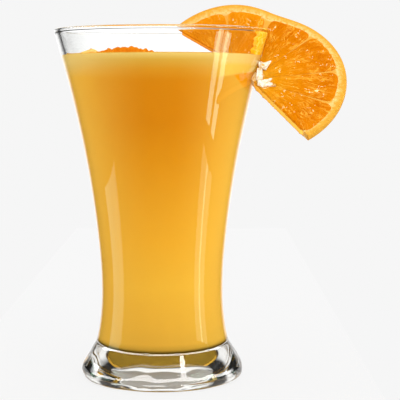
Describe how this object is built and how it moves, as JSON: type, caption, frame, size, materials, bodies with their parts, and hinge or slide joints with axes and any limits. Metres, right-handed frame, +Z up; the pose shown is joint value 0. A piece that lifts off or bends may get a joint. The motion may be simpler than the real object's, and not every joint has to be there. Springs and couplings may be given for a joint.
{
  "type": "glass of orange juice",
  "caption": "Flared tumbler with a thick round foot, filled with orange juice, with a slit orange slice pushed onto the rim and a small piece of orange afloat.",
  "frame": {"origin": "on the axis of the glass, on the flat underside of its foot", "axes": "+Z up along the axis of the glass, +X towards the slice on the rim, -Y towards the viewer"},
  "size_m": [0.1215, 0.0898, 0.1587],
  "materials": {
    "glass": "clear polished glass",
    "juice": "cloudy liquid, wet surface",
    "orange": "wet orange flesh with pale pith and oily peel"
  },
  "bodies": {
    "root": {"glass": "glass", "juice": "juice", "rim_slice": "orange", "floating_slice": "orange"}
  },
  "joints": []
}
